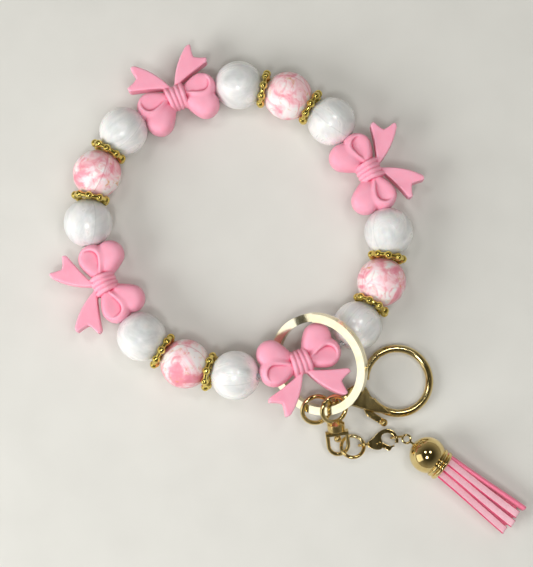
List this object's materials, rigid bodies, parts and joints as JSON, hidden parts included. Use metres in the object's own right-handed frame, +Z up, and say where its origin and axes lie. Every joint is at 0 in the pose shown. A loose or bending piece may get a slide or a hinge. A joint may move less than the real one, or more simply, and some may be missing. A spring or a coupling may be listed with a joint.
{
  "type": "wristlet keychain",
  "caption": "Bead wristlet keychain: a closed loop of round and bow beads on elastic, with a split ring, a large swivel clasp, a swivel connector, a small clasp and a tassel.",
  "frame": {"origin": "on the table under the middle of the whole laid-out piece", "axes": "+Z up from the table it lies on, +Y from the tassel end towards the far side of the loop, +X towards the large clasp"},
  "size_m": [0.1424, 0.1482, 0.0198],
  "materials": {
    "pink_silicone": "satin pink silicone",
    "pearl_silicone": "pearlescent white silicone with soft swirls",
    "marble_silicone": "white silicone marbled with pink and gold",
    "spacer_gold": "bright gold plating",
    "clear_elastic": "clear elastic cord",
    "pale_gold": "pale gold plating, polished flat band",
    "clasp_gold": "bright gold plating on cast alloy",
    "cap_gold": "bright gold plating, turned",
    "spring_steel": "spring wire",
    "pink_suede": "pink suede-like strips, matt"
  },
  "bodies": {
    "cord": {"elastic_cord": "clear_elastic"},
    "split_ring": {"split_ring": "pale_gold"},
    "clasp_swivel_eye": {"clasp_swivel_eye": "clasp_gold"},
    "clasp": {"clasp_body": "clasp_gold", "clasp_rivet": "clasp_gold", "clasp_spring": "spring_steel"},
    "clasp_gate": {"clasp_gate": "clasp_gold"},
    "connector_eye": {"connector_eye": "clasp_gold", "connector_pin": "clasp_gold"},
    "connector_yoke": {"connector_yoke": "clasp_gold"},
    "jump_ring": {"jump_ring": "clasp_gold"},
    "small_clasp": {"small_clasp_body": "clasp_gold", "small_clasp_rivet": "clasp_gold", "small_clasp_spring": "spring_steel"},
    "small_clasp_gate": {"small_clasp_gate": "clasp_gold"},
    "link_ring": {"link_ring": "clasp_gold"},
    "tassel": {"tassel_cap": "cap_gold", "tassel_loop": "clasp_gold", "tassel_fringe": "pink_suede"},
    "bow_bead_1": {"bow_bead_1": "pink_silicone"},
    "pearl_bead_1": {"pearl_bead_1": "pearl_silicone"},
    "marble_bead_1": {"marble_bead_1": "marble_silicone"},
    "pearl_bead_2": {"pearl_bead_2": "pearl_silicone"},
    "bow_bead_2": {"bow_bead_2": "pink_silicone"},
    "pearl_bead_3": {"pearl_bead_3": "pearl_silicone"},
    "marble_bead_2": {"marble_bead_2": "marble_silicone"},
    "pearl_bead_4": {"pearl_bead_4": "pearl_silicone"},
    "bow_bead_3": {"bow_bead_3": "pink_silicone"},
    "pearl_bead_5": {"pearl_bead_5": "pearl_silicone"},
    "marble_bead_3": {"marble_bead_3": "marble_silicone"},
    "pearl_bead_6": {"pearl_bead_6": "pearl_silicone"},
    "bow_bead_4": {"bow_bead_4": "pink_silicone"},
    "pearl_bead_7": {"pearl_bead_7": "pearl_silicone"},
    "marble_bead_4": {"marble_bead_4": "marble_silicone"},
    "pearl_bead_8": {"pearl_bead_8": "pearl_silicone"},
    "spacer_1": {"spacer_1": "spacer_gold"},
    "spacer_2": {"spacer_2": "spacer_gold"},
    "spacer_3": {"spacer_3": "spacer_gold"},
    "spacer_4": {"spacer_4": "spacer_gold"},
    "spacer_5": {"spacer_5": "spacer_gold"},
    "spacer_6": {"spacer_6": "spacer_gold"},
    "spacer_7": {"spacer_7": "spacer_gold"},
    "spacer_8": {"spacer_8": "spacer_gold"}
  },
  "joints": [
    {"name": "ring_swing", "type": "hinge", "parent": "cord", "child": "split_ring", "pos_m": [0.01335, -0.02111, 0.01331], "axis": [0.5635, -0.8261, 0], "range_deg": [0, 40]},
    {"name": "clasp_eye_hinge", "type": "hinge", "parent": "split_ring", "child": "clasp_swivel_eye", "pos_m": [0.00879, -0.03732, 0.00415], "axis": [0.8832, -0.203, 0.4228], "range_deg": [0, 3]},
    {"name": "clasp_swivel", "type": "hinge", "parent": "clasp_swivel_eye", "child": "clasp", "pos_m": [0.01477, -0.0352, 0.00366], "axis": [0.9398, 0.3334, -0.0754], "range_deg": [-90, 90]},
    {"name": "clasp_gate_pivot", "type": "hinge", "parent": "clasp", "child": "clasp_gate", "pos_m": [0.02193, -0.03181, 0.00307], "axis": [-0.0711, -0.0252, -0.9972], "range_deg": [0, 22], "stiffness_Nm_per_rad": 0.0015},
    {"name": "connector_hinge", "type": "hinge", "parent": "split_ring", "child": "connector_eye", "pos_m": [0.01396, -0.03737, 0.00785], "axis": [0.8224, 0.1843, 0.5383], "range_deg": [-12, 0]},
    {"name": "yoke_swivel", "type": "hinge", "parent": "connector_eye", "child": "connector_yoke", "pos_m": [0.01488, -0.04394, 0.00504], "axis": [0.1281, -0.9115, -0.3907], "continuous": true},
    {"name": "jump_ring_swing", "type": "hinge", "parent": "connector_yoke", "child": "jump_ring", "pos_m": [0.01827, -0.04671, 0.00367], "axis": [0.1281, -0.9115, -0.3907], "range_deg": [-12, 12]},
    {"name": "small_clasp_swing", "type": "hinge", "parent": "jump_ring", "child": "small_clasp", "pos_m": [0.02316, -0.048, 0.00275], "axis": [-0.1612, 0.9274, -0.3375], "range_deg": [-20, 20]},
    {"name": "small_gate_pivot", "type": "hinge", "parent": "small_clasp", "child": "small_clasp_gate", "pos_m": [0.0278, -0.04795, 0.00275], "axis": [0, 0, 1], "range_deg": [0, 12], "stiffness_Nm_per_rad": 0.0005},
    {"name": "link_swing", "type": "hinge", "parent": "small_clasp", "child": "link_ring", "pos_m": [0.03304, -0.0457, 0.00275], "axis": [-0.1392, 0.9903, 0], "range_deg": [-20, 20]},
    {"name": "tassel_swing", "type": "hinge", "parent": "link_ring", "child": "tassel", "pos_m": [0.03517, -0.0454, 0.00275], "axis": [0, 0, 1], "range_deg": [-25, 25]},
    {"name": "bow_bead_1_spin", "type": "hinge", "parent": "cord", "child": "bow_bead_1", "pos_m": [0.02529, 0.03556, 0.00745], "axis": [-0.4515, 0.8923, 0], "range_deg": [-35, 35]},
    {"name": "bow_bead_2_spin", "type": "hinge", "parent": "cord", "child": "bow_bead_2", "pos_m": [-0.03419, 0.05883, 0.00745], "axis": [-0.9267, -0.3758, 0], "range_deg": [-35, 35]},
    {"name": "bow_bead_3_spin", "type": "hinge", "parent": "cord", "child": "bow_bead_3", "pos_m": [-0.05571, 0.00074, 0.00745], "axis": [0.4365, -0.8997, 0], "range_deg": [-35, 35]},
    {"name": "bow_bead_4_spin", "type": "hinge", "parent": "cord", "child": "bow_bead_4", "pos_m": [0.00368, -0.0234, 0.01117], "axis": [0.9301, 0.3578, -0.0824], "range_deg": [-4, 1]},
    {"name": "pearl_bead_1_spin", "type": "hinge", "parent": "cord", "child": "pearl_bead_1", "pos_m": [0.01371, 0.05148, 0.00745], "axis": [-0.7681, 0.6404, 0], "continuous": true},
    {"name": "marble_bead_1_spin", "type": "hinge", "parent": "cord", "child": "marble_bead_1", "pos_m": [0.00024, 0.05952, 0.00745], "axis": [-0.9281, 0.3724, 0], "continuous": true},
    {"name": "pearl_bead_2_spin", "type": "hinge", "parent": "cord", "child": "pearl_bead_2", "pos_m": [-0.01506, 0.06293, 0.00745], "axis": [-0.9984, 0.0564, 0], "continuous": true},
    {"name": "pearl_bead_3_spin", "type": "hinge", "parent": "cord", "child": "pearl_bead_3", "pos_m": [-0.05062, 0.04834, 0.00745], "axis": [-0.66, -0.7513, 0], "continuous": true},
    {"name": "marble_bead_2_spin", "type": "hinge", "parent": "cord", "child": "marble_bead_2", "pos_m": [-0.05854, 0.03496, 0.00745], "axis": [-0.3419, -0.9397, 0], "continuous": true},
    {"name": "pearl_bead_4_spin", "type": "hinge", "parent": "cord", "child": "pearl_bead_4", "pos_m": [-0.06113, 0.01959, 0.00745], "axis": [0.0153, -0.9999, 0], "continuous": true},
    {"name": "pearl_bead_5_spin", "type": "hinge", "parent": "cord", "child": "pearl_bead_5", "pos_m": [-0.04439, -0.01536, 0.00745], "axis": [0.7579, -0.6524, 0], "continuous": true},
    {"name": "marble_bead_3_spin", "type": "hinge", "parent": "cord", "child": "marble_bead_3", "pos_m": [-0.03105, -0.02361, 0.00745], "axis": [0.922, -0.3871, 0], "continuous": true},
    {"name": "pearl_bead_6_spin", "type": "hinge", "parent": "cord", "child": "pearl_bead_6", "pos_m": [-0.01581, -0.02727, 0.00983], "axis": [0.9555, -0.0701, 0.2865], "continuous": true},
    {"name": "pearl_bead_7_spin", "type": "hinge", "parent": "cord", "child": "pearl_bead_7", "pos_m": [0.02105, -0.01214, 0.00882], "axis": [0.6363, 0.7522, -0.1712], "continuous": true},
    {"name": "marble_bead_4_spin", "type": "hinge", "parent": "cord", "child": "marble_bead_4", "pos_m": [0.02873, 0.00139, 0.00745], "axis": [0.3244, 0.9459, 0], "continuous": true},
    {"name": "pearl_bead_8_spin", "type": "hinge", "parent": "cord", "child": "pearl_bead_8", "pos_m": [0.03104, 0.01681, 0.00745], "axis": [-0.0332, 0.9994, 0], "continuous": true},
    {"name": "spacer_1_spin", "type": "hinge", "parent": "cord", "child": "spacer_1", "pos_m": [0.00718, 0.05584, 0.00745], "axis": [-0.8586, 0.5126, 0], "continuous": true},
    {"name": "spacer_2_spin", "type": "hinge", "parent": "cord", "child": "spacer_2", "pos_m": [-0.00731, 0.06165, 0.00745], "axis": [-0.9761, 0.2172, 0], "continuous": true},
    {"name": "spacer_3_spin", "type": "hinge", "parent": "cord", "child": "spacer_3", "pos_m": [-0.05511, 0.04197, 0.00745], "axis": [-0.5097, -0.8603, 0], "continuous": true},
    {"name": "spacer_4_spin", "type": "hinge", "parent": "cord", "child": "spacer_4", "pos_m": [-0.06041, 0.02738, 0.00745], "axis": [-0.1661, -0.9861, 0], "continuous": true},
    {"name": "spacer_5_spin", "type": "hinge", "parent": "cord", "child": "spacer_5", "pos_m": [-0.03793, -0.01982, 0.00745], "axis": [0.8504, -0.5262, 0], "continuous": true},
    {"name": "spacer_6_spin", "type": "hinge", "parent": "cord", "child": "spacer_6", "pos_m": [-0.02366, -0.02606, 0.00802], "axis": [0.9611, -0.234, 0.1467], "continuous": true},
    {"name": "spacer_7_spin", "type": "hinge", "parent": "cord", "child": "spacer_7", "pos_m": [0.02551, -0.00569, 0.00781], "axis": [0.4905, 0.867, -0.0874], "continuous": true},
    {"name": "spacer_8_spin", "type": "hinge", "parent": "cord", "child": "spacer_8", "pos_m": [0.03046, 0.00901, 0.00745], "axis": [0.1481, 0.989, 0], "continuous": true}
  ]
}
